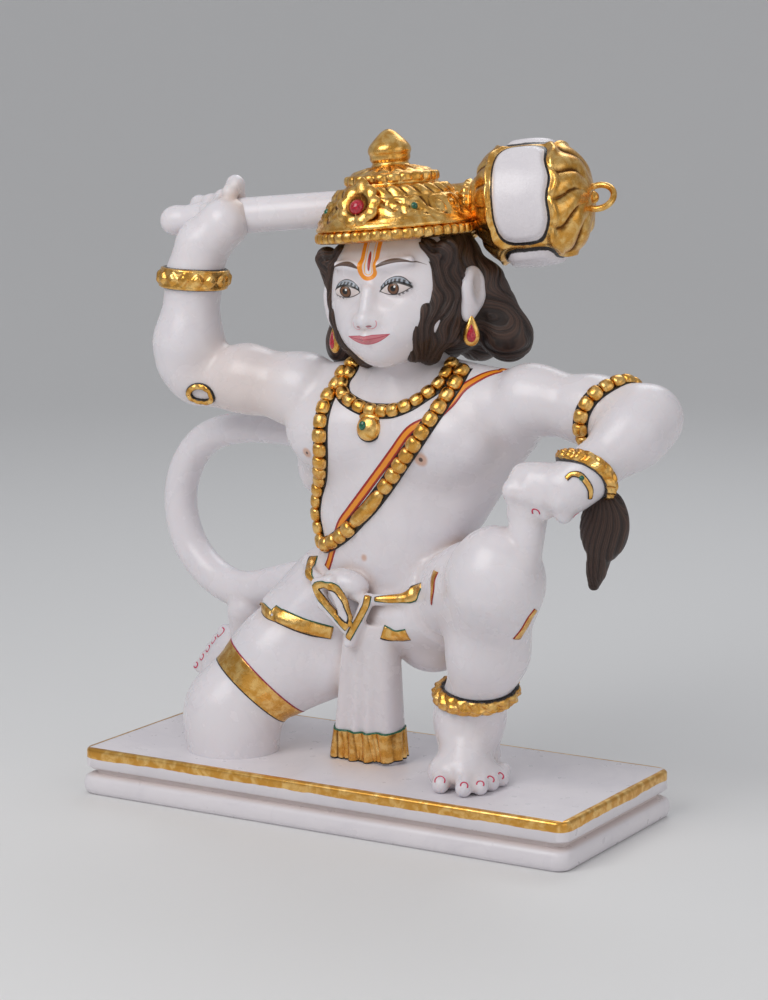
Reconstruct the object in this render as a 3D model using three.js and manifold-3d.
// A marble figure kneeling on one knee with a mace across the shoulders, carved from one block with
// its moulded plinth. Millimetres, +Z up. The figure faces -Y, and its own left arm is on the +X side.
// The origin is at the middle of the plinth's underside.
import * as THREE from 'three';
import { mergeVertices } from 'three/addons/utils/BufferGeometryUtils.js';
import Module from 'manifold-3d';

// Driving sizes: the figure from the plinth's top to the tip of its crown, and the plinth
const figureHeight = 425;
const plinthLength = 375;
const plinthDepth = 158;
const plinthCornerRadius = 9;
const upperSlabHeight = 15;
const grooveHeight = 3.5;
const grooveDepth = 5;
const lowerSlabHeight = 14;
const slabEdgeRound = 2.2;
const lowerSlabBulge = 1.6;

// Fineness of the carved surface: the sampling step and the facets left after it is thinned
const carvingStep = 3.2;
const carvedFacets = 5600;
const figureFacets = 9300;

const plinthHeight = lowerSlabHeight + grooveHeight + upperSlabHeight;

// The figure is laid out in shares of its height: one share is a hundredth of it
const share = figureHeight / 100;
const at = (x, y, z) => new THREE.Vector3(x * share, y * share, z * share);

const wasm = await Module();
wasm.setup();

// Masses: each has a centre and a reach that bound it, and a distance to its surface

const clamp = THREE.MathUtils.clamp;

function ball(centre, radius) {
  const r = radius * share;
  return {
    centre,
    reach: r,
    distance: (p) => p.distanceTo(centre) - r,
  };
}

// A limb that tapers between two round ends
function limb(start, startRadius, end, endRadius) {
  const axis = end.clone().sub(start);
  const lengthSquared = axis.lengthSq();
  const [r1, r2] = [startRadius * share, endRadius * share];
  return {
    centre: start.clone().lerp(end, 0.5),
    reach: Math.sqrt(lengthSquared) / 2 + Math.max(r1, r2),
    distance: (p) => {
      const [x, y, z] = [p.x - start.x, p.y - start.y, p.z - start.z];
      const t = clamp((x * axis.x + y * axis.y + z * axis.z) / lengthSquared, 0, 1);
      return Math.hypot(x - axis.x * t, y - axis.y * t, z - axis.z * t) - (r1 + (r2 - r1) * t);
    },
  };
}

// An egg-shaped mass with three half-widths, turned by angles in degrees about X, Y and Z
function egg(centre, halfWidths, turn = [0, 0, 0]) {
  const [a, b, c] = halfWidths.map((width) => width * share);
  const angles = turn.map((angle) => THREE.MathUtils.degToRad(angle));
  const back = new THREE.Quaternion().setFromEuler(new THREE.Euler(...angles, 'ZYX')).invert();
  const q = new THREE.Vector3();
  return {
    centre,
    reach: Math.max(a, b, c),
    distance: (p) => {
      q.copy(p).sub(centre).applyQuaternion(back);
      const scaled = Math.hypot(q.x / a, q.y / b, q.z / c);
      const slope = Math.hypot(q.x / (a * a), q.y / (b * b), q.z / (c * c));
      return slope < 1e-9 ? -Math.min(a, b, c) : (scaled * (scaled - 1)) / slope;
    },
  };
}

// A run of limbs through points, each point with its own radius
function chain(points, radii) {
  return points.slice(1).map((end, i) => limb(points[i], radii[i], end, radii[i + 1]));
}

// Limbs along a smooth curve through points, with a few pieces to each span
function bend(points, radii, pieces) {
  const curve = new THREE.CatmullRomCurve3(points);
  const count = pieces * (points.length - 1);
  const widths = Array.from({ length: count + 1 }, (_, i) => {
    const k = Math.min(Math.floor(i / pieces), points.length - 2);
    return THREE.MathUtils.lerp(radii[k], radii[k + 1], i / pieces - k);
  });
  return chain(curve.getPoints(count), widths);
}

// Blends two distances over a fillet
function blend(first, second, fillet) {
  const near = Math.max(fillet - Math.abs(first - second), 0) / fillet;
  return Math.min(first, second) - (near * near * fillet) / 4;
}

// Joins masses with a fillet, and skips those too far away to matter
function join(masses, fillet) {
  const width = fillet * share;
  const box = new THREE.Box3();
  for (const mass of masses) {
    box.expandByPoint(mass.centre.clone().addScalar(mass.reach));
    box.expandByPoint(mass.centre.clone().subScalar(mass.reach));
  }
  const centre = box.getCenter(new THREE.Vector3());
  const reach = Math.max(...masses.map((mass) => mass.centre.distanceTo(centre) + mass.reach));
  return {
    centre,
    reach: reach + width,
    distance: (p) => {
      let d = 1e6;
      for (const mass of masses) {
        const least = p.distanceTo(mass.centre) - mass.reach;
        if (least < d + width) d = blend(d, mass.distance(p), width);
      }
      return d;
    },
  };
}

// Cuts a mass by a plane, and keeps the side that the normal points away from
function cutOff(mass, point, normal) {
  const n = normal.clone().normalize();
  const offset = n.dot(point);
  return { ...mass, distance: (p) => Math.max(mass.distance(p), n.dot(p) - offset) };
}

// Carves a mass away from another, with a fillet
function carve(mass, tool, fillet) {
  const width = fillet * share;
  return {
    ...mass,
    distance: (p) => {
      const d = mass.distance(p);
      if (p.distanceTo(tool.centre) - tool.reach > width - d) return d;
      return -blend(-d, tool.distance(p), width);
    },
  };
}

// Places on the figure that more than one part uses
const hipRight = at(-8.5, 3.5, 25.5);
const kneeRight = at(-23.2, -6.2, 7.4);
const ankleRight = at(-29.5, 9.5, 6.2);
const hipLeft = at(9.5, 4.0, 25.5);
const kneeLeft = at(28.2, -10.8, 32.8);
const ankleLeft = at(18.6, -1.6, 9.0);
const shoulderRight = at(-13.2, 1.0, 58.4);
const elbowRight = at(-32.4, -3.2, 59.6);
const wristRight = at(-31.7, -3.0, 76.0);
const shoulderLeft = at(27.6, 1.2, 59.6);
const elbowLeft = at(47.3, 1.0, 58.0);
const wristLeft = at(42.4, -8.6, 50.8);
const headCentre = at(4.9, 0.6, 74.8);
const headTurn = 3;
const headLean = -5.4;
const crownFoot = at(4.1, 0.6, 83.2);
const crownTip = at(2.5, 0.6, 100);
const shaftButt = at(-39.4, -0.9, 84.7);
const maceCollar = at(9.4, 7.9, 87.5);
const maceTip = at(32.0, 13.3, 89.9);

// A place on the head: right, back and up from its centre, in shares, leaning and turned with it
function onHead(x, y, z) {
  const angles = [0, headLean, headTurn].map(THREE.MathUtils.degToRad);
  return at(x, y, z).applyEuler(new THREE.Euler(...angles, 'ZYX')).add(headCentre);
}

function headEgg([x, y, z], halfWidths, pitch = 0) {
  return egg(onHead(x, y, z), halfWidths, [pitch, headLean, headTurn]);
}

// Torso, from the hips to the neck
function torsoMass() {
  const trunk = join([
    egg(at(4.5, 1.0, 50.5), [17.2, 7.6, 10.5]),
    egg(at(3.4, 1.2, 40.5), [13.8, 6.8, 10.5]),
    egg(at(2.4, 2.2, 31.0), [13.2, 7.0, 8.0]),
    limb(at(-11.5, 1.2, 56.6), 5.4, at(25.0, 1.4, 57.8), 5.4),
    egg(at(13.4, -2.9, 53.0), [9.2, 4.6, 5.6], [0, 8, 0]),
    egg(at(-4.8, -2.9, 52.8), [8.6, 4.6, 5.6], [0, -8, 0]),
    limb(at(23.4, 3.4, 53.0), 3.4, at(15.0, 2.6, 42.5), 4.4),
    egg(at(-11.0, 4.5, 50.0), [4.6, 4.6, 9.0], [0, 16, 0]),
  ], 3.2);
  const neck = join([
    limb(at(5.6, 1.8, 57.5), 5.4, at(4.6, 1.6, 67.0), 4.7),
    limb(at(5.2, 3.2, 62.6), 3.6, at(-9.5, 1.8, 58.6), 3.6),
    limb(at(5.8, 3.2, 62.6), 3.6, at(22.0, 2.0, 59.6), 3.6),
  ], 3.4);
  const navel = ball(at(2.4, -6.6, 34.4), 0.9);
  const middle = limb(at(4.3, -9.4, 53.5), 0.9, at(3.2, -7.8, 41.5), 0.7);
  return carve(carve(join([trunk, neck], 3.2), middle, 2.2), navel, 0.9);
}

// The hips, thighs and the cloth that is drawn tight over them
function loinMass() {
  const hips = join([
    egg(at(1.0, 3.6, 25.6), [14.2, 8.6, 7.2]),
    egg(at(-5.5, 7.5, 23.6), [7.6, 6.4, 7.4]),
    egg(at(8.5, 7.5, 23.6), [7.6, 6.4, 7.4]),
    egg(at(9.6, 2.6, 20.4), [6.4, 5.6, 5.6]),
    egg(at(8.5, -1.5, 24.2), [7.0, 6.0, 4.6]),
  ], 3.0);
  const kneeward = kneeRight.clone().sub(hipRight);
  const right = limb(hipRight, 8.3, hipRight.clone().addScaledVector(kneeward, 0.55), 8.0);
  const hemRight = cutOff(right, at(-11.3, 1.6, 22.0), at(-3.7, 0, -12.4));
  const outward = kneeLeft.clone().sub(hipLeft);
  const left = limb(hipLeft, 8.0, hipLeft.clone().addScaledVector(outward, 0.6), 7.6);
  const hemLeft = cutOff(left, hipLeft.clone().addScaledVector(outward, 0.34), outward);
  return join([hips, hemRight, hemLeft], 1.6);
}

function rightLegMass() {
  const heel = at(-29.0, 11.2, 9.0);
  const leg = join([
    limb(hipRight, 7.9, at(-16.5, -2.2, 15.0), 7.3),
    limb(at(-16.5, -2.2, 15.0), 7.3, kneeRight, 6.6),
    limb(at(-6.5, 1.0, 15.5), 5.8, at(-15.5, -2.2, 12.4), 6.8),
    limb(at(-30.2, 9.6, 19.4), 3.4, at(-30.8, 11.0, 14.6), 3.2),
    egg(at(-23.0, -6.2, 4.6), [7.6, 7.0, 6.4]),
    cutOff(limb(at(-22.6, -6.2, 5.6), 6.8, at(-22.6, -6.2, 0), 7.4), at(0, 0, -1), at(0, 0, -1)),
    limb(kneeRight, 5.6, at(-27.0, 2.4, 5.4), 5.4),
    limb(at(-27.0, 2.4, 5.4), 5.4, ankleRight, 3.8),
  ], 2.6);
  const foot = join([
    limb(ankleRight, 3.6, heel, 3.2),
    limb(ankleRight, 3.4, at(-36.0, 13.4, 10.4), 3.0),
    limb(at(-35.2, 13.2, 12.2), 2.8, at(-39.4, 13.8, 7.9), 2.6),
  ], 2.0);
  const toes = [0, 1, 2, 3, 4].map((i) => {
    const root = at(-33.8 - 1.4 * i, 13.2, 13.0 - 1.7 * i);
    const tip = at(-37.4 - 1.38 * i, 13.7, 13.9 - 1.6 * i);
    return limb(root, 1.45 - 0.08 * i, tip, 1.5 - 0.1 * i);
  });
  return join([leg, foot, ...toes], 0.7);
}

function leftLegMass() {
  const leg = join([
    limb(hipLeft, 7.6, at(21.6, -4.6, 30.4), 7.2),
    limb(at(21.6, -4.6, 30.4), 7.2, kneeLeft, 6.6),
    egg(at(28.4, -11.2, 35.4), [6.4, 6.0, 6.6]),
    limb(kneeLeft, 6.6, at(24.4, -6.2, 21.5), 5.9),
    limb(at(24.4, -6.2, 21.5), 5.9, at(19.8, -2.8, 11.0), 4.4),
    limb(at(19.6, -2.8, 11.0), 4.5, ankleLeft, 4.7),
    limb(ankleLeft, 4.7, at(17.6, 0.4, 3.0), 4.4),
  ], 2.8);
  const foot = join([
    limb(ankleLeft, 4.6, at(21.4, -8.2, 2.6), 3.3),
    limb(at(17.0, 1.6, 2.4), 3.4, at(18.4, -9.0, 2.2), 2.6),
    limb(at(18.4, 1.6, 2.2), 3.0, at(23.6, -6.2, 1.8), 2.2),
  ], 2.0);
  const tips = [[19.9, -12.9], [24.0, -13.1], [25.7, -10.9], [26.1, -7.9], [26.2, -4.8]];
  const toes = tips.map(([x, y], i) => {
    const root = at(x - 1.5, y + 3.4, 2.3 - 0.15 * i);
    return limb(root, 1.55 - 0.1 * i, at(x, y, 1.3 - 0.06 * i), 1.35 - 0.08 * i);
  });
  return join([join([leg, foot], 2.2), ...toes], 1.1);
}

// The right arm is raised, and its fist closes over the mace's shaft
function rightArmMass() {
  const arm = join([
    egg(shoulderRight, [6.0, 5.8, 5.8]),
    limb(shoulderRight, 5.4, at(-23.0, -1.0, 60.0), 5.1),
    limb(at(-23.0, -1.0, 60.0), 5.1, at(-31.0, -2.8, 59.5), 4.2),
    limb(at(-33.2, -3.3, 62.2), 4.6, at(-32.6, -3.4, 65.4), 5.2),
    limb(at(-32.6, -3.4, 65.4), 5.2, wristRight, 4.2),
  ], 2.6);
  const palm = join([
    limb(wristRight, 4.0, at(-30.4, -2.4, 81.2), 3.8),
    limb(at(-30.4, -2.4, 81.2), 3.8, at(-26.8, -1.4, 84.8), 4.0),
  ], 2.4);
  const fingers = [87.5, 87.8, 88.6, 90.9].map((top, i) => {
    const x = -34.8 + 2.35 * i;
    return join([
      limb(at(x, 1.2, 82.4), 1.55, at(x + 0.3, 3.9, 85.6), 1.55),
      limb(at(x + 0.3, 3.9, 85.6), 1.55, at(x + 0.8, 2.2, top), 1.4),
      limb(at(x + 0.8, 2.2, top), 1.4, at(x + 1.6, -0.6, top - 1.2), 1.3),
    ], 0.6);
  });
  const thumb = join(chain([at(-28.4, -2.8, 84.6), at(-26.4, -1.6, 86.2), at(-25.0, -0.6, 86.8)],
    [2.2, 1.9, 1.6]), 0.8);
  return join([join([arm, palm], 2.4), ...fingers, thumb], 0.9);
}

// The left arm comes back from its elbow, and its fist stands on the knee
function leftArmMass() {
  const arm = join([
    egg(shoulderLeft, [6.0, 5.4, 5.2]),
    limb(shoulderLeft, 4.7, at(38.4, 1.4, 58.5), 5.0),
    limb(at(38.4, 1.4, 58.5), 5.0, elbowLeft, 4.7),
    limb(elbowLeft, 4.6, at(46.4, -2.4, 55.9), 4.7),
    limb(at(46.4, -2.4, 55.9), 4.7, wristLeft, 3.6),
  ], 2.6);
  const fist = join([
    limb(wristLeft, 3.4, at(40.0, -10.2, 48.6), 3.5),
    limb(at(40.0, -10.2, 48.6), 3.5, at(35.0, -11.0, 48.5), 3.2),
    limb(at(35.0, -11.0, 49.2), 2.4, at(33.2, -10.8, 49.4), 2.1),
  ], 2.0);
  const fingers = [32.8, 35.0, 37.2, 40.2].map((x, i) => join([
    limb(at(x, -11.5 + 0.2 * i, 50.1 - 0.4 * i), 1.5, at(x - 0.5, -13.4 + 0.3 * i, 48.0 - 0.4 * i), 1.5),
    limb(at(x - 0.5, -13.4 + 0.3 * i, 48.0 - 0.4 * i), 1.5, at(x - 0.4, -12.4 + 0.3 * i, 45.6 - 0.3 * i),
      1.35),
  ], 0.5));
  const thumb = limb(at(34.0, -8.8, 47.2), 1.8, at(31.9, -11.3, 44.4), 1.5);
  const stay = limb(at(34.0, -10.6, 46.0), 2.7, at(32.2, -10.8, 36.0), 3.0);
  return join([join([arm, fist], 2.2), ...fingers, thumb, stay], 1.0);
}

// The tail loops out to the right, passes behind the back and ends in a tuft at the left wrist
function tailMass() {
  const loop = bend([
    at(-6.0, 9.0, 25.0), at(-17.1, 8.6, 26.0), at(-29.9, 10.0, 22.8), at(-37.0, 11.2, 23.8),
    at(-42.8, 11.9, 28.4), at(-45.2, 12.0, 35.2), at(-44.0, 11.8, 42.0), at(-39.6, 11.3, 47.4),
    at(-32.2, 10.6, 50.0), at(-22.4, 9.8, 50.4), at(-12.0, 9.8, 49.2), at(0.0, 9.8, 48.4),
    at(10.0, 9.2, 49.6), at(18.0, 7.6, 53.2), at(24.0, 6.4, 56.6), at(30.0, 6.0, 58.8),
  ], [3.6, 3.3, 3.1, 3.0, 2.9, 2.8, 2.8, 2.7, 2.6, 2.5, 2.4, 2.3, 2.2, 2.2, 2.2, 2.2], 3);
  const overArm = bend([
    at(30.0, 6.0, 58.8), at(37.0, 6.4, 58.6), at(43.4, 4.8, 57.0), at(45.2, 1.6, 54.4),
    at(43.8, -2.2, 51.8), at(43.2, -5.2, 48.8), at(44.2, -6.6, 46.4),
  ], [2.2, 2.0, 1.9, 1.8, 1.8, 1.7, 1.6], 2);
  return join([...loop, ...overArm], 0.06);
}

function tuftMass() {
  return join([
    egg(at(44.2, -6.8, 42.6), [3.9, 2.8, 5.4], [0, 6, 0]),
    limb(at(44.4, -6.8, 46.0), 1.9, at(42.9, -6.6, 35.6), 1.2),
    limb(at(42.9, -6.6, 36.6), 1.4, at(42.4, -6.5, 33.6), 0.9),
  ], 1.4);
}

// The cloth that hangs from the knot to the plinth, with shallow pleats that deepen to its hem
function flapMass() {
  const [top, foot] = [at(3.0, -5.2, 21.5), at(-0.3, -0.4, 0.4)];
  const [topHalf, footHalf] = [4.7 * share, 6.2 * share];
  const [topDepth, footDepth] = [2.5 * share, 2.8 * share];
  const pleats = 8;
  const pleatDepth = 0.28 * share;
  const edge = 2.3 * share;
  return {
    centre: top.clone().lerp(foot, 0.5),
    reach: top.distanceTo(foot) / 2 + footHalf + footDepth,
    distance: (p) => {
      const t = clamp((top.z - p.z) / (top.z - foot.z), 0, 1);
      const x = Math.abs(p.x - (top.x + (foot.x - top.x) * t));
      const y = Math.abs(p.y - (top.y + (foot.y - top.y) * t));
      const half = topHalf + (footHalf - topHalf) * t;
      const depth = topDepth + (footDepth - topDepth) * t;
      const wave = pleatDepth * t * Math.cos((p.x - top.x) / half * Math.PI * pleats / 2);
      const [dx, dy] = [x - half + edge, y - depth + edge + wave];
      const side = Math.hypot(Math.max(dx, 0), Math.max(dy, 0)) + Math.min(Math.max(dx, dy), 0) - edge;
      return Math.max(side, p.z - top.z - 2 * share, -p.z - share) * 0.8;
    },
  };
}

// The belt's knot: a bow that leans out, and the belt's two runs and loose end
function knotMass() {
  const bow = chain([
    at(0.4, -8.2, 22.6), at(-3.6, -8.8, 26.4), at(-4.8, -8.6, 29.4), at(-2.4, -8.8, 30.0),
    at(-0.2, -9.0, 27.0), at(0.6, -8.4, 22.8),
  ], [0.9, 1.0, 1.0, 1.0, 1.0, 0.9]);
  const end = limb(at(3.8, -7.6, 27.6), 1.0, at(0.8, -8.2, 20.6), 1.0);
  const over = egg(at(-0.8, -6.6, 29.6), [4.0, 2.4, 2.2], [0, 10, 0]);
  const belt = chain([
    at(-11.6, -1.0, 31.6), at(-8.4, -5.0, 30.0), at(-3.0, -7.0, 28.8), at(3.4, -7.2, 27.4),
    at(9.6, -6.4, 28.0), at(14.6, -4.4, 30.4),
  ], [0.7, 0.9, 0.9, 0.9, 0.9, 0.8]);
  return join([...bow, end, over, ...belt], 0.4);
}

// Head, with a broad muzzle, and the ears
function headMass() {
  const skull = join([
    headEgg([0, 0.8, 1.4], [11.0, 11.2, 11.0]),
    headEgg([0, -3.2, -3.0], [9.4, 8.0, 7.4]),
    headEgg([0, -8.0, -4.8], [5.6, 4.2, 3.9]),
    headEgg([0, -7.6, -7.8], [3.0, 3.2, 2.6]),
  ], 2.6);
  const nose = join([
    limb(onHead(0, -10.8, 1.0), 0.8, onHead(0, -12.4, -2.6), 1.0),
    ball(onHead(0, -12.7, -3.2), 1.15),
    ball(onHead(1.2, -12.0, -3.2), 0.9),
    ball(onHead(-1.2, -12.0, -3.2), 0.9),
  ], 0.9);
  const brows = [-1, 1].map((side) => limb(onHead(1.6 * side, -9.9, 4.9), 0.7,
    onHead(6.2 * side, -8.2, 5.4), 0.6));
  const eyes = [-1, 1].map((side) => headEgg([4.1 * side, -8.4, 1.5], [2.6, 2.1, 1.7]));
  const lips = [-1, 1].map((side) => limb(onHead(0, -12.4, -5.6), 0.7,
    onHead(3.4 * side, -10.9, -5.2), 0.5));
  const sockets = [-1, 1].map((side) => headEgg([4.3 * side, -11.4, 1.6], [3.0, 1.9, 2.2]));
  const face = sockets.reduce((mass, socket) => carve(mass, socket, 1.6), skull);
  const ears = [-1, 1].map((side) => join([
    headEgg([12.0 * side, 1.0, 0.0], [1.5, 3.4, 3.6], -14),
    headEgg([11.6 * side, -0.4, -2.8], [1.2, 1.7, 2.2], -14),
  ], 1.2));
  return join([join([face, nose, ...brows], 1.2), ...eyes, ...lips, ...ears], 0.5);
}

// Hair swept back from the temples, falling in a row of curls on the nape
function hairMass() {
  const cap = join([
    headEgg([0, 3.4, 2.8], [12.4, 10.6, 10.0]),
    headEgg([0, 6.4, -3.0], [13.2, 7.6, 8.4]),
  ], 2.5);
  const temples = [-1, 1].flatMap((side) => [
    limb(onHead(10.4 * side, -4.0, 6.4), 1.9, onHead(10.8 * side, -2.6, 3.0), 1.2),
    limb(onHead(10.6 * side, -1.2, 2.0), 1.5, onHead(8.8 * side, -1.6, -6.8), 1.8),
  ]);
  const curls = [-2, -1, 0, 1, 2].map((i) => {
    const spread = i * 5.9;
    const back = 12.6 - 1.25 * i * i;
    return join([
      limb(onHead(spread * 0.9, back - 1.4, 0.5), 4.2, onHead(spread * 1.1, back, -6.4), 4.1),
      ball(onHead(spread * 1.2, back + 0.4, -8.2), 3.9),
    ], 1.6);
  });
  return join([cap, ...temples, ...curls], 1.1);
}

// Samples a field on a grid, with the parts of the grid far from its surface left out. Caution allows
// for a field that is a little less than the true distance
function sampleField(field, low, high, step) {
  const size = high.clone().sub(low);
  const counts = [size.x, size.y, size.z].map((length) => Math.ceil(length / step) + 1);
  const [nx, ny, nz] = counts;
  const values = new Float32Array(nx * ny * nz).fill(1);
  const block = 8;
  const caution = 1.4;
  const half = (block * step) / 2;
  const near = half * Math.sqrt(3) * caution;
  const active = [];
  const p = new THREE.Vector3();
  for (let k = 0; k < nz - 1; k += block) {
    for (let j = 0; j < ny - 1; j += block) {
      for (let i = 0; i < nx - 1; i += block) {
        p.set(i * step + half, j * step + half, k * step + half).add(low);
        if (Math.abs(field.distance(p)) < near) active.push([i, j, k]);
      }
    }
  }
  for (const [i0, j0, k0] of active) {
    for (let k = k0; k <= Math.min(k0 + block, nz - 1); k += 1) {
      for (let j = j0; j <= Math.min(j0 + block, ny - 1); j += 1) {
        for (let i = i0; i <= Math.min(i0 + block, nx - 1); i += 1) {
          const index = (k * ny + j) * nx + i;
          if (values[index] === 1) {
            p.set(i * step, j * step, k * step).add(low);
            values[index] = field.distance(p);
          }
        }
      }
    }
  }
  return { values, nx, ny, nz, low, step, block, active };
}

// The six tetrahedra that fill a cell, as the corner steps from one corner to the opposite one
const axisOrders = [[1, 2, 4], [2, 4, 1], [4, 1, 2], [1, 4, 2], [4, 2, 1], [2, 1, 4]];

// The least distance of a vertex from a corner of its cell, as a share of the edge that it lies on
const cornerGap = 0.04;

// Turns the samples into a closed mesh, cell by cell, over six tetrahedra in each
function skinField(grid) {
  const { values, nx, ny, nz, low, step, block, active } = grid;
  const stride = [0, 1, nx, nx + 1, nx * ny, nx * ny + 1, nx * ny + nx, nx * ny + nx + 1];
  const positions = [];
  const faces = [];
  const known = new Map();
  const corner = (index) => new THREE.Vector3(index % nx, Math.floor(index / nx) % ny,
    Math.floor(index / (nx * ny))).multiplyScalar(step).add(low);
  const cross = (a, b) => {
    const key = a < b ? a * 8 + stride.indexOf(b - a) : b * 8 + stride.indexOf(a - b);
    if (known.has(key)) return known.get(key);
    const t = clamp(values[a] / (values[a] - values[b]), cornerGap, 1 - cornerGap);
    const point = corner(a).lerp(corner(b), t);
    const vertex = positions.length / 3;
    positions.push(point.x, point.y, point.z);
    known.set(key, vertex);
    return vertex;
  };
  const tetrahedron = (nodes, flipped) => {
    const inside = nodes.filter((node) => values[node] < 0);
    const outside = nodes.filter((node) => values[node] >= 0);
    if (!inside.length || !outside.length) return;
    const sign = orientation(nodes, inside, outside) !== flipped;
    const emit = (a, b, c) => faces.push(...(sign ? [a, b, c] : [a, c, b]));
    if (inside.length === 1) emit(...outside.map((node) => cross(inside[0], node)));
    else if (outside.length === 1) emit(...inside.map((node) => cross(outside[0], node)));
    else {
      const [a, b] = inside;
      const [c, d] = outside;
      const quad = [cross(a, c), cross(a, d), cross(b, d), cross(b, c)];
      emit(quad[0], quad[1], quad[2]);
      emit(quad[0], quad[2], quad[3]);
    }
  };
  for (const [i0, j0, k0] of active) {
    for (let k = k0; k < Math.min(k0 + block, nz - 1); k += 1) {
      for (let j = j0; j < Math.min(j0 + block, ny - 1); j += 1) {
        for (let i = i0; i < Math.min(i0 + block, nx - 1); i += 1) {
          const base = (k * ny + j) * nx + i;
          let below = 0;
          for (const offset of stride) below += values[base + offset] < 0 ? 1 : 0;
          if (below === 0 || below === 8) continue;
          axisOrders.forEach(([a, b], order) => {
            const nodes = [base, base + stride[a], base + stride[a + b], base + stride[7]];
            tetrahedron(nodes, order > 2);
          });
        }
      }
    }
  }
  return { positions, faces };
}

// Whether the nodes, sorted with the inner ones first, are an even shuffle of their order in the cell
function orientation(nodes, inside, outside) {
  const sorted = outside.length === 1 ? [...outside, ...inside] : [...inside, ...outside];
  let swaps = outside.length === 1 ? 1 : 0;
  const order = sorted.map((node) => nodes.indexOf(node));
  for (let i = 0; i < 4; i += 1) {
    for (let j = i + 1; j < 4; j += 1) swaps += order[i] > order[j] ? 1 : 0;
  }
  return swaps % 2 === 0;
}

// Edges in order of cost, the cheapest first, with the two ends and the stamp that each was offered with
class EdgeQueue {
  constructor() {
    this.costs = [];
    this.edges = [];
  }

  get length() {
    return this.costs.length;
  }

  push(cost, edge) {
    const { costs, edges } = this;
    let i = costs.push(cost) - 1;
    edges.push(edge);
    while (i > 0) {
      const parent = (i - 1) >> 1;
      if (costs[parent] <= cost) break;
      costs[i] = costs[parent];
      edges[i] = edges[parent];
      i = parent;
    }
    costs[i] = cost;
    edges[i] = edge;
  }

  pop() {
    const { costs, edges } = this;
    const edge = edges[0];
    const cost = costs.pop();
    const last = edges.pop();
    const count = costs.length;
    let i = 0;
    for (;;) {
      let child = 2 * i + 1;
      if (child >= count) break;
      if (child + 1 < count && costs[child + 1] < costs[child]) child += 1;
      if (costs[child] >= cost) break;
      costs[i] = costs[child];
      edges[i] = edges[child];
      i = child;
    }
    if (count) {
      costs[i] = cost;
      edges[i] = last;
    }
    return edge;
  }
}

// How a fold is weighed: the pull towards the edge's middle, the cost of a long edge, and the most
// that a facet may turn, as a cosine, with the least area that it may keep
const middlePull = 1e-3;
const longEdgeCost = 1e-4;
const leastTurnCosine = 0.3;
const leastDoubleArea = 1e-3;

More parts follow.
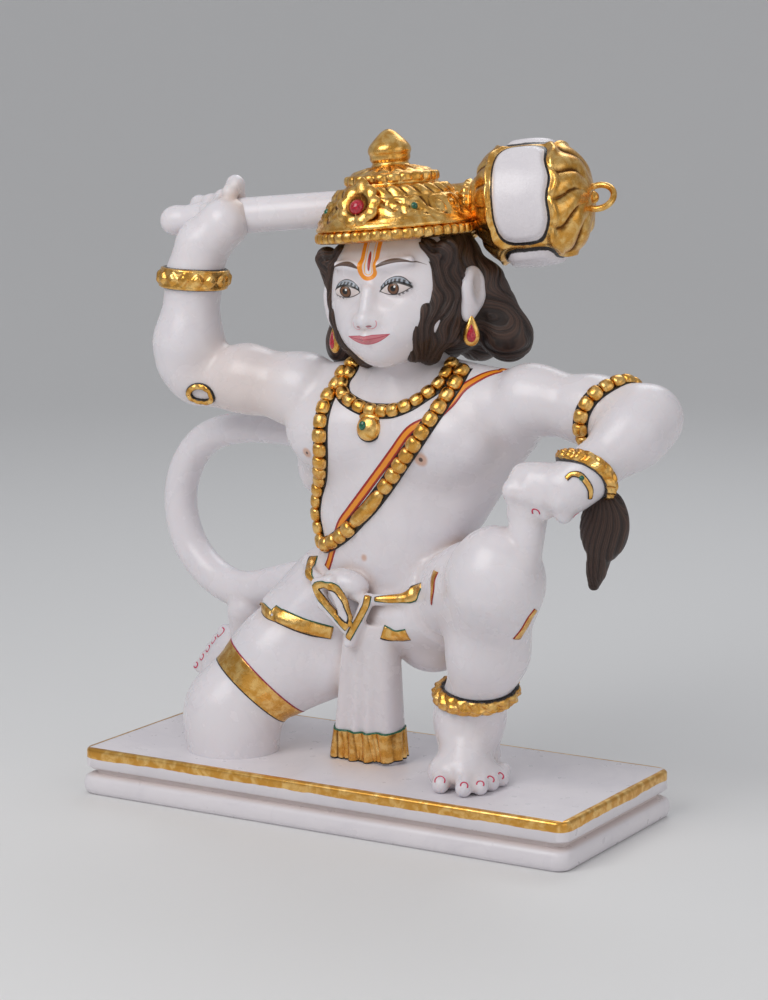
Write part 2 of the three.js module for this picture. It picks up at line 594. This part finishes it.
// Thins a closed mesh to a number of facets: the edges that the shape needs least are folded up first
class Thinner {
  constructor(positions, faces) {
    this.p = Float64Array.from(positions);
    this.f = Int32Array.from(faces);
    this.alive = this.f.length / 3;
    const count = this.p.length / 3;
    this.q = new Float64Array(count * 10);
    this.stamp = new Int32Array(count);
    this.mark = new Int32Array(count);
    this.marker = 0;
    this.around = Array.from({ length: count }, () => []);
    this.best = new Float64Array(3);
    this.sum = new Float64Array(10);
    this.n = new Float64Array(3);
    for (let t = 0; t < this.alive; t += 1) {
      for (let i = 0; i < 3; i += 1) this.around[this.f[3 * t + i]].push(t);
      this.addPlane(t);
    }
    this.queue = new EdgeQueue();
    for (let v = 0; v < count; v += 1) {
      for (const w of this.ring(v)) if (w > v) this.offer(v, w);
    }
  }

  // The normal of a facet, twice its area long, with one corner moved to the best place if asked
  normal(t, moved = -1) {
    const { f, p, best, n } = this;
    const [a, b, c] = [f[3 * t], f[3 * t + 1], f[3 * t + 2]];
    const ax = a === moved ? best[0] : p[3 * a];
    const ay = a === moved ? best[1] : p[3 * a + 1];
    const az = a === moved ? best[2] : p[3 * a + 2];
    const ux = (b === moved ? best[0] : p[3 * b]) - ax;
    const uy = (b === moved ? best[1] : p[3 * b + 1]) - ay;
    const uz = (b === moved ? best[2] : p[3 * b + 2]) - az;
    const vx = (c === moved ? best[0] : p[3 * c]) - ax;
    const vy = (c === moved ? best[1] : p[3 * c + 1]) - ay;
    const vz = (c === moved ? best[2] : p[3 * c + 2]) - az;
    n[0] = uy * vz - uz * vy;
    n[1] = uz * vx - ux * vz;
    n[2] = ux * vy - uy * vx;
    return Math.sqrt(n[0] * n[0] + n[1] * n[1] + n[2] * n[2]);
  }

  addPlane(t) {
    const length = this.normal(t);
    if (length < 1e-12) return;
    const [a, b, c] = [this.n[0] / length, this.n[1] / length, this.n[2] / length];
    const v0 = this.f[3 * t];
    const d = -(a * this.p[3 * v0] + b * this.p[3 * v0 + 1] + c * this.p[3 * v0 + 2]);
    const terms = [a * a, a * b, a * c, a * d, b * b, b * c, b * d, c * c, c * d, d * d];
    for (let i = 0; i < 3; i += 1) {
      const base = this.f[3 * t + i] * 10;
      for (let j = 0; j < 10; j += 1) this.q[base + j] += terms[j] * length;
    }
  }

  // The vertices that share an edge with one vertex
  ring(v) {
    const { around, f, mark } = this;
    this.marker += 1;
    mark[v] = this.marker;
    const found = [];
    for (const t of around[v]) {
      for (let i = 3 * t; i < 3 * t + 3; i += 1) {
        if (mark[f[i]] !== this.marker) {
          mark[f[i]] = this.marker;
          found.push(f[i]);
        }
      }
    }
    return found;
  }

  // Works out the place that keeps the shape best when an edge is folded up, and returns the cost
  settle(a, b) {
    const { p, q, best, sum } = this;
    for (let j = 0; j < 10; j += 1) sum[j] = q[10 * a + j] + q[10 * b + j];
    const [mx, my, mz] = [(p[3 * a] + p[3 * b]) / 2, (p[3 * a + 1] + p[3 * b + 1]) / 2,
      (p[3 * a + 2] + p[3 * b + 2]) / 2];
    const long = Math.sqrt((p[3 * a] - p[3 * b]) ** 2 + (p[3 * a + 1] - p[3 * b + 1]) ** 2
      + (p[3 * a + 2] - p[3 * b + 2]) ** 2);
    const pull = (sum[0] + sum[4] + sum[7]) * middlePull;
    const [m0, m4, m7] = [sum[0] + pull, sum[4] + pull, sum[7] + pull];
    const [r0, r1, r2] = [pull * mx - sum[3], pull * my - sum[6], pull * mz - sum[8]];
    const c0 = m4 * m7 - sum[5] * sum[5];
    const c1 = sum[2] * sum[5] - sum[1] * m7;
    const c2 = sum[1] * sum[5] - sum[2] * m4;
    const c4 = m0 * m7 - sum[2] * sum[2];
    const c5 = sum[1] * sum[2] - m0 * sum[5];
    const c7 = m0 * m4 - sum[1] * sum[1];
    const det = m0 * c0 + sum[1] * c1 + sum[2] * c2;
    let x = (c0 * r0 + c1 * r1 + c2 * r2) / det;
    let y = (c1 * r0 + c4 * r1 + c5 * r2) / det;
    let z = (c2 * r0 + c5 * r1 + c7 * r2) / det;
    const away = Math.sqrt((x - mx) ** 2 + (y - my) ** 2 + (z - mz) ** 2);
    if (!(Math.abs(det) > 1e-12) || !(away < long)) [x, y, z] = [mx, my, mz];
    [best[0], best[1], best[2]] = [x, y, z];
    return sum[0] * x * x + 2 * sum[1] * x * y + 2 * sum[2] * x * z + 2 * sum[3] * x
      + sum[4] * y * y + 2 * sum[5] * y * z + 2 * sum[6] * y + sum[7] * z * z + 2 * sum[8] * z
      + sum[9] + long * long * longEdgeCost;
  }

  offer(a, b) {
    this.queue.push(this.settle(a, b), [a, b, this.stamp[a] + this.stamp[b]]);
  }

  // Whether an edge can be folded up with the mesh still closed and no facet turned over
  mayFold(a, b) {
    const { around, f, mark, n } = this;
    const near = this.ring(a);
    this.ring(b);
    let shared = 0;
    for (const v of near) if (mark[v] === this.marker && v !== b) shared += 1;
    if (shared !== 2) return false;
    for (const [v, other] of [[a, b], [b, a]]) {
      for (const t of around[v]) {
        if (f[3 * t] === other || f[3 * t + 1] === other || f[3 * t + 2] === other) continue;
        const before = this.normal(t);
        const [x, y, z] = n;
        const after = this.normal(t, v);
        const dot = x * n[0] + y * n[1] + z * n[2];
        if (after < leastDoubleArea || dot < leastTurnCosine * before * after) return false;
      }
    }
    return true;
  }

  fold(a, b) {
    const { around, f, p, q, best } = this;
    for (let j = 0; j < 3; j += 1) p[3 * a + j] = best[j];
    for (let j = 0; j < 10; j += 1) q[10 * a + j] += q[10 * b + j];
    for (const t of around[b]) {
      const corners = [f[3 * t], f[3 * t + 1], f[3 * t + 2]];
      if (corners.includes(a)) {
        for (const v of corners) if (v !== b) around[v].splice(around[v].indexOf(t), 1);
        f[3 * t] = -1;
        this.alive -= 1;
      } else {
        f[3 * t + corners.indexOf(b)] = a;
        around[a].push(t);
      }
    }
    around[b] = [];
    this.stamp[a] += 1;
    this.stamp[b] = -1e9;
    for (const v of this.ring(a)) this.offer(a, v);
  }

  run(target) {
    while (this.alive > target && this.queue.length) {
      const [a, b, stamp] = this.queue.pop();
      if (this.stamp[a] + this.stamp[b] !== stamp) continue;
      this.settle(a, b);
      if (this.mayFold(a, b)) this.fold(a, b);
    }
    return this.result();
  }

  result() {
    const used = new Map();
    const positions = [];
    const faces = [];
    for (let t = 0; t < this.f.length; t += 3) {
      if (this.f[t] < 0) continue;
      for (let i = t; i < t + 3; i += 1) {
        const v = this.f[i];
        if (!used.has(v)) {
          used.set(v, positions.length / 3);
          positions.push(this.p[3 * v], this.p[3 * v + 1], this.p[3 * v + 2]);
        }
        faces.push(used.get(v));
      }
    }
    return { positions, faces };
  }
}

function solidOf({ positions, faces }) {
  return new wasm.Manifold(new wasm.Mesh({
    numProp: 3,
    vertProperties: Float32Array.from(positions),
    triVerts: Uint32Array.from(faces),
  }));
}

// A solid from a closed three.js geometry
function solidOfGeometry(geometry) {
  const bare = new THREE.BufferGeometry();
  bare.setAttribute('position', geometry.getAttribute('position'));
  if (geometry.index) bare.setIndex(geometry.index);
  const merged = mergeVertices(bare, 1e-3);
  return solidOf({ positions: merged.getAttribute('position').array, faces: merged.index.array });
}

// Joins rings of points, all with as many, into a closed mesh, with flat ends or as a closed loop
function loft(rings, closed = false) {
  const sides = rings[0].length;
  const positions = rings.flat().flatMap((point) => [point.x, point.y, point.z]);
  const faces = [];
  const last = closed ? rings.length : rings.length - 1;
  for (let r = 0; r < last; r += 1) {
    const [low, high] = [r * sides, ((r + 1) % rings.length) * sides];
    for (let i = 0; i < sides; i += 1) {
      const j = (i + 1) % sides;
      faces.push(low + i, low + j, high + j, low + i, high + j, high + i);
    }
  }
  if (!closed) {
    const top = (rings.length - 1) * sides;
    for (let i = 1; i < sides - 1; i += 1) {
      faces.push(0, i + 1, i, top, top + i, top + i + 1);
    }
  }
  return { positions, faces };
}

// A round form turned about the line from a foot to a tip: the profile gives radius and height in
// shares, and a wave may swell its radius as it goes round
function turned(profile, foot, tip, sides, wave = () => 0) {
  const axis = tip.clone().sub(foot).normalize();
  const place = new THREE.Quaternion().setFromUnitVectors(new THREE.Vector3(0, 0, 1), axis);
  const rings = profile.map(([radius, height]) => Array.from({ length: sides }, (_, i) => {
    const angle = (i / sides) * 2 * Math.PI;
    const r = (radius + wave(angle, height, i)) * share;
    return new THREE.Vector3(Math.cos(angle) * r, Math.sin(angle) * r, height * share)
      .applyQuaternion(place).add(foot);
  }));
  return solidOf(loft(rings));
}

// A string of beads along a curve: a tube whose radius swells once for each bead
function beadString(curve, beads, widest, narrowest, sides, closed) {
  const count = beads * 2;
  const frames = curve.computeFrenetFrames(count, closed);
  const rings = [];
  for (let i = 0; i < count + (closed ? 0 : 1); i += 1) {
    const centre = curve.getPointAt(i / count);
    const r = (i % 2 ? widest : narrowest) * share;
    rings.push(Array.from({ length: sides }, (_, j) => {
      const angle = (j / sides) * 2 * Math.PI;
      return centre.clone()
        .addScaledVector(frames.normals[i], Math.cos(angle) * r)
        .addScaledVector(frames.binormals[i], Math.sin(angle) * r);
    }));
  }
  return solidOf(loft(rings, closed));
}

// A lumpy ring round a limb, which may lean along it
function bangle(centre, axis, radius, lean, thickness, lumps) {
  const turns = 16;
  const sides = 5;
  const waist = 0.8 * thickness;
  const along = axis.clone().normalize();
  const across = new THREE.Vector3(0, 1, 0).cross(along).normalize();
  const up = along.clone().cross(across);
  const points = Array.from({ length: turns }, (_, i) => {
    const angle = (i / turns) * 2 * Math.PI;
    return centre.clone()
      .addScaledVector(across, Math.cos(angle) * radius * share)
      .addScaledVector(up, Math.sin(angle) * radius * share)
      .addScaledVector(along, Math.cos(angle) * lean * share);
  });
  const curve = new THREE.CatmullRomCurve3(points, true);
  return beadString(curve, lumps, thickness, waist, sides, true);
}

// The place on a field's surface that is met first from the front
function onFront(field, x, z, raise) {
  const outside = -14;
  const mostSteps = 60;
  const [closeEnough, stride] = [0.02 * share, 0.8];
  const p = at(x, outside, z);
  for (let i = 0; i < mostSteps; i += 1) {
    const d = field.distance(p) - raise * share;
    if (d < closeEnough) break;
    p.y += Math.max(d * stride, closeEnough);
  }
  return p;
}

// Ornament

function crownSolids() {
  const rim = [[0, 0], [11.8, 0], [12.4, 0.3], [12.4, 1.7], [11.9, 2.0], [0, 2.0]];
  const flutes = (angle, height, i) => (height > 0.1 && height < 1.9 && i % 2 ? 0.3 : 0);
  const dome = [[0, 1.8], [11.9, 1.8], [12.3, 2.3], [12.0, 2.9], [11.3, 3.2], [9.9, 5.6], [8.4, 8.0],
    [7.2, 8.5], [7.2, 9.7], [5.9, 10.5], [2.9, 11.4], [2.5, 12.0], [3.4, 12.7], [3.5, 13.7],
    [2.7, 15.2], [1.1, 16.4], [0, 16.9]];
  const leaves = (angle, height) => (height > 4 && height < 8.2 ? 0.35 * Math.cos(6 * angle) : 0);
  const front = crownFoot.clone().lerp(crownTip, 0.34).add(at(-0.4, -9.9, 0));
  const peak = crownFoot.clone().lerp(crownTip, 0.55).add(at(-0.4, -7.9, 0));
  return [
    turned(rim, crownFoot, crownTip, 52, flutes),
    turned(dome, crownFoot, crownTip, 24, leaves),
    solidOfGeometry(new THREE.SphereGeometry(1, 10, 6).scale(2.8 * share, 1.6 * share, 3.6 * share)
      .rotateX(-0.45).translate(front.x, front.y, front.z)),
    solidOfGeometry(new THREE.SphereGeometry(1, 6, 4).scale(1.5 * share, 1.3 * share, 2.6 * share)
      .rotateX(-0.45).translate(peak.x, peak.y, peak.z)),
  ];
}

function maceSolids() {
  const crownMiddle = at(2.6, 6.2, 88.4);
  const shaft = turned([[0, 0], [1.6, 0.4], [2.5, 1.8], [2.5, 3.6], [2.2, 4.8], [2.9, 6.2],
    [2.9, 44.0], [0, 44.0]], shaftButt, crownMiddle, 12);
  const lobes = (angle, height) => (height > 9 && height < 21 ? 0.3 * Math.cos(6 * angle) : 0);
  const head = turned([[0, -3], [4.1, -3], [4.2, 3.8], [5.0, 4.6], [4.8, 5.6], [7.2, 6.6],
    [8.7, 8.6], [9.5, 11.0], [9.6, 14.0], [9.3, 16.8], [8.4, 18.8], [6.0, 21.3], [2.6, 22.9], [0, 23.2]],
  maceCollar, maceTip, 24, lobes);
  const maceAxis = maceTip.clone().sub(maceCollar).normalize();
  const ringPlace = maceCollar.clone().addScaledVector(maceAxis, 23.9 * share);
  const ringTurn = Math.atan2(maceAxis.y, maceAxis.x) - 0.52;
  const ring = solidOfGeometry(new THREE.TorusGeometry(2.4 * share, 0.55 * share, 5, 14)
    .rotateX(Math.PI / 2).rotateZ(ringTurn)
    .translate(ringPlace.x, ringPlace.y, ringPlace.z));
  return [shaft, head, ring];
}

function necklaceSolids(torso) {
  const string = (places, raise) => new THREE.CatmullRomCurve3(
    places.map(([x, z]) => onFront(torso, x, z, raise)),
  );
  const long = string([[-4.4, 64.0], [-6.9, 58.0], [-7.3, 50.0], [-7.0, 42.0], [-5.7, 36.8],
    [-3.6, 35.4], [-0.6, 37.8], [6.2, 45.6], [11.5, 52.4], [15.4, 58.6], [16.2, 62.4]], 0.5);
  const short = string([[-3.6, 64.6], [-4.4, 61.4], [-1.6, 57.4], [4.4, 55.4], [10.4, 57.8],
    [13.6, 61.8], [13.0, 64.4]], 0.5);
  const pendant = onFront(torso, 4.3, 53.2, 0.3);
  return [
    beadString(long, 34, 1.45, 1.0, 6, false),
    beadString(short, 15, 1.3, 0.95, 6, false),
    solidOfGeometry(new THREE.SphereGeometry(1.7 * share, 10, 6)
      .scale(1, 0.6, 1.1).translate(pendant.x, pendant.y, pendant.z)),
  ];
}

function bangleSolids() {
  const rightForearm = wristRight.clone().sub(elbowRight);
  const leftForearm = wristLeft.clone().sub(elbowLeft);
  const rightShin = at(-4.0, 8.0, 0);
  const leftShin = at(2.0, -2.6, 10.0);
  const armlet = at(-27.8, -6.9, 58.6);
  return [
    bangle(wristRight, rightForearm, 4.5, 0, 1.4, 9),
    bangle(wristLeft, leftForearm, 4.5, 0, 1.4, 9),
    bangle(at(18.9, -1.8, 11.8), leftShin, 5.0, 0, 1.5, 9),
    bangle(at(-28.4, 7.4, 6.4), rightShin, 4.6, 0, 1.2, 8),
    bangle(at(40.4, 1.4, 58.5), at(1, 0, 0), 5.2, -3.8, 1.1, 11),
    solidOfGeometry(new THREE.SphereGeometry(1, 10, 6)
      .scale(2.6 * share, 1.3 * share, 2.0 * share).translate(armlet.x, armlet.y, armlet.z)),
  ];
}

function earringSolids() {
  return [-1, 1].map((side) => {
    const place = onHead(11.8 * side, -0.8, -6.2);
    return solidOfGeometry(new THREE.SphereGeometry(1, 8, 6)
      .scale(1.3 * share, 1.2 * share, 2.4 * share).translate(place.x, place.y, place.z));
  });
}

// Two slabs with a groove between them: rounded rectangles, drawn in and let out on the way up
function plinthSolid() {
  const round = slabEdgeRound;
  const grooveTop = lowerSlabHeight + grooveHeight;
  const grooveSlope = grooveHeight / 6;
  const steps = [
    [0, round / 2], [round, -lowerSlabBulge / 2], [lowerSlabHeight / 2, -lowerSlabBulge],
    [lowerSlabHeight - round, 0], [lowerSlabHeight, round],
    [lowerSlabHeight + grooveSlope, grooveDepth], [grooveTop, grooveDepth],
    [grooveTop + round / 2, round / 2], [grooveTop + round, 0],
    [plinthHeight - round, 0], [plinthHeight, round],
  ];
  const sharpest = 0.5;
  const arcSteps = 3;
  const rings = steps.map(([z, inset]) => {
    const radius = Math.max(plinthCornerRadius - inset, sharpest);
    const [x, y] = [plinthLength / 2 - inset - radius, plinthDepth / 2 - inset - radius];
    return [[1, 1], [-1, 1], [-1, -1], [1, -1]].flatMap(([sx, sy], corner) => (
      Array.from({ length: arcSteps + 1 }, (_, i) => {
        const angle = (corner + i / arcSteps) * (Math.PI / 2);
        return new THREE.Vector3(sx * x + Math.cos(angle) * radius, sy * y + Math.sin(angle) * radius, z);
      })
    ));
  });
  return solidOf(loft(rings));
}

function figureField() {
  const body = join([torsoMass(), loinMass(), rightLegMass(), leftLegMass(), tailMass(),
    rightArmMass(), leftArmMass(), flapMass(), knotMass()], 0.8);
  return join([body, headMass(), hairMass(), tuftMass()], 0.5);
}

function carvedFigure() {
  const field = figureField();
  const margin = 2 * carvingStep;
  const low = at(-49, -20, -1.4).addScalar(-margin);
  const high = at(57, 20, 94).addScalar(margin);
  const grid = sampleField(field, low, high, carvingStep);
  const { positions, faces } = skinField(grid);
  return solidOf(new Thinner(positions, faces).run(carvedFacets));
}

function wholeFigure() {
  const ornament = [...crownSolids(), ...maceSolids(), ...necklaceSolids(torsoMass()),
    ...bangleSolids(), ...earringSolids()];
  const figure = ornament.reduce((solid, piece) => solid.add(piece), carvedFigure());
  const { vertProperties, triVerts } = figure.getMesh();
  const thinned = solidOf(new Thinner(vertProperties, triVerts).run(figureFacets));
  return thinned.translate(0, 0, plinthHeight).add(plinthSolid());
}

function geometryOf(solid) {
  const mesh = solid.getMesh();
  const geometry = new THREE.BufferGeometry();
  geometry.setAttribute('position', new THREE.BufferAttribute(mesh.vertProperties, 3));
  geometry.setIndex(new THREE.BufferAttribute(mesh.triVerts, 1));
  geometry.computeVertexNormals();
  return geometry;
}

const marble = new THREE.MeshStandardMaterial({ color: 0xdfd6de, roughness: 0.3, metalness: 0 });

const statue = new THREE.Group();
const carving = new THREE.Mesh(geometryOf(wholeFigure()), marble);
carving.name = 'hanuman_figure';
statue.add(carving);

export default statue;
